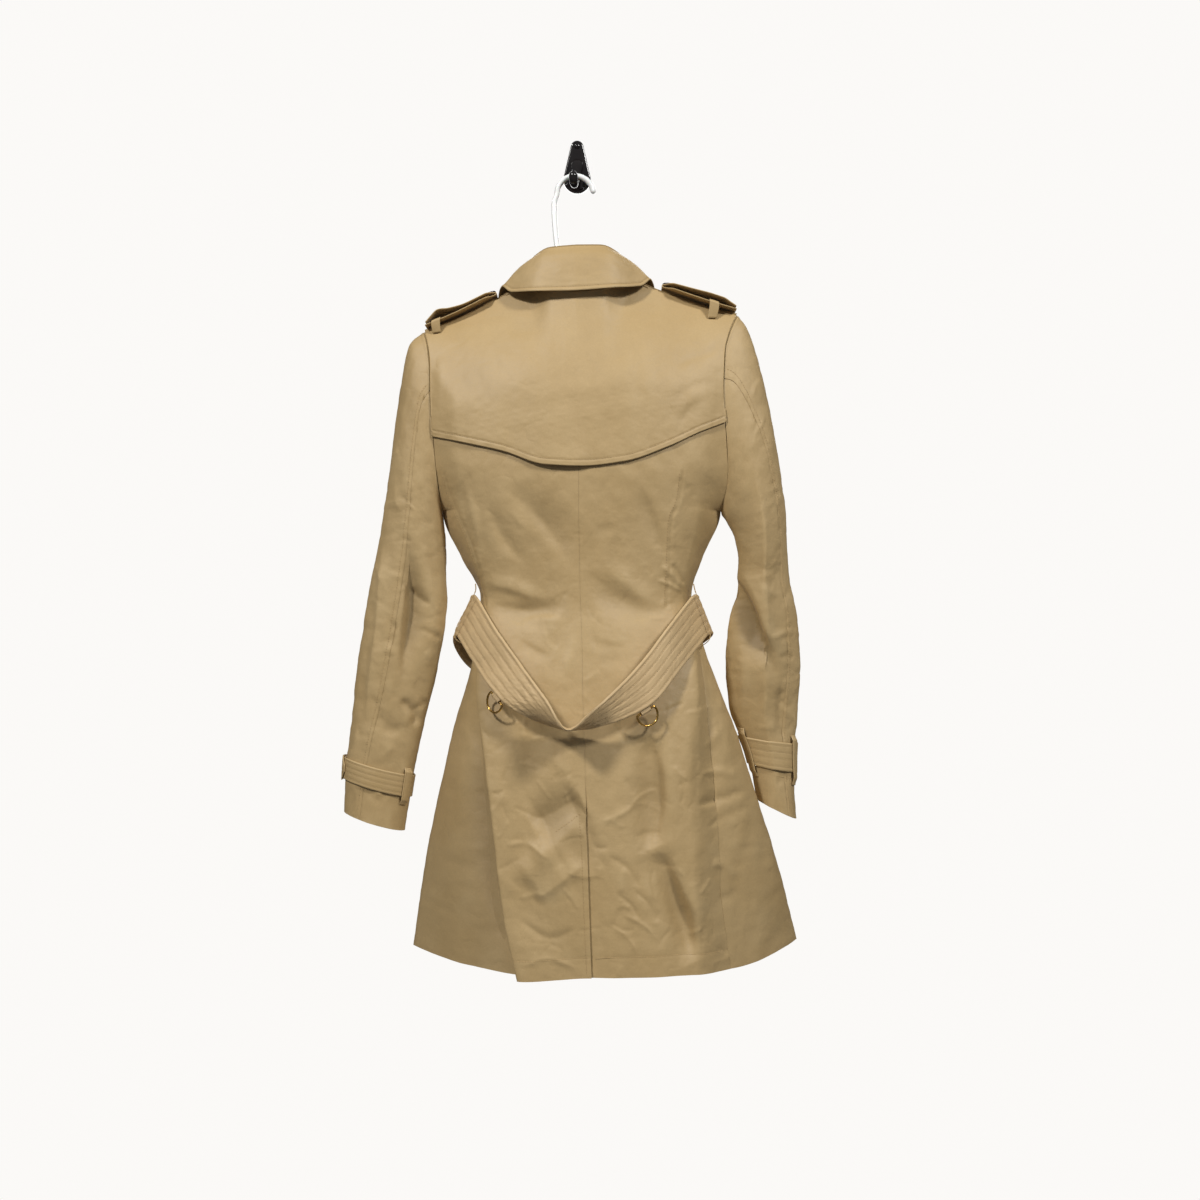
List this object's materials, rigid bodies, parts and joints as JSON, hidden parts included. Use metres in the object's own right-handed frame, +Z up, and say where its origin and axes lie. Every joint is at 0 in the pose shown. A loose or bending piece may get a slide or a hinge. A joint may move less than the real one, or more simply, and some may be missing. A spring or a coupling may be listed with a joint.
{
  "type": "trench coat on a plastic hanger and wall hook",
  "caption": "Short belted double-breasted trench coat, seen from its back, hanging on a tube hanger that hangs on a wall hook.",
  "frame": {"origin": "middle of the hook plate's back face, on the wall", "axes": "+Z up; +Y into the wall, so the coat's back faces -Y; +X to the right as seen facing the wall"},
  "size_m": [0.586, 0.2102, 1.0558],
  "materials": {
    "coat_cotton": "fine cotton twill, sand",
    "belt_cotton": "topstitched cotton twill, light sand",
    "brass": "polished",
    "horn_button": "dark horn look",
    "dark_leather": "leather over a stiff frame",
    "white_plastic": "smooth white",
    "black_metal": "glossy black paint"
  },
  "bodies": {
    "coat": {"back_left": "coat_cotton", "back_right": "coat_cotton", "belt": "belt_cotton", "belt_buckle": "dark_leather", "belt_loop_left": "coat_cotton", "belt_loop_right": "coat_cotton", "belt_ring_tab_left": "belt_cotton", "belt_ring_tab_right": "belt_cotton", "collar": "coat_cotton", "collar_stand": "coat_cotton", "cuff_buckle_left": "dark_leather", "cuff_buckle_right": "dark_leather", "cuff_loop_left_inner": "coat_cotton", "cuff_loop_right_inner": "coat_cotton", "cuff_loop_right_outer": "coat_cotton", "cuff_strap_left": "coat_cotton", "cuff_strap_right": "coat_cotton", "cuff_tail_left": "coat_cotton", "cuff_tail_right": "coat_cotton", "epaulette_button_left": "horn_button", "epaulette_button_right": "horn_button", "epaulette_left": "coat_cotton", "epaulette_loop_left": "coat_cotton", "epaulette_loop_right": "coat_cotton", "epaulette_right": "coat_cotton", "front_button_left_1": "horn_button", "front_button_left_2": "horn_button", "front_button_left_3": "horn_button", "front_button_right_1": "horn_button", "front_button_right_2": "horn_button", "front_button_right_3": "horn_button", "front_left": "coat_cotton", "front_right": "coat_cotton", "hanger": "white_plastic", "hook_screw_1": "black_metal", "hook_screw_2": "black_metal", "hook_screw_3": "black_metal", "lapel_left": "coat_cotton", "lapel_right": "coat_cotton", "sleeve_left_under": "coat_cotton", "sleeve_left_upper": "coat_cotton", "sleeve_right_under": "coat_cotton", "sleeve_right_upper": "coat_cotton", "storm_flap": "coat_cotton", "wall_hook": "black_metal"},
    "ring_left": {"belt_ring_left": "brass"},
    "ring_right": {"belt_ring_right": "brass"}
  },
  "joints": [
    {"name": "belt_ring_left_swing", "type": "hinge", "parent": "coat", "child": "ring_left", "pos_m": [-0.09359, -0.15514, -0.68546], "axis": [0.5875, -0.5359, -0.6063], "range_deg": [-110, 40]},
    {"name": "belt_ring_right_swing", "type": "hinge", "parent": "coat", "child": "ring_right", "pos_m": [0.08413, -0.16266, -0.70001], "axis": [0.8241, 0.3043, 0.4778], "range_deg": [-110, 40]}
  ]
}
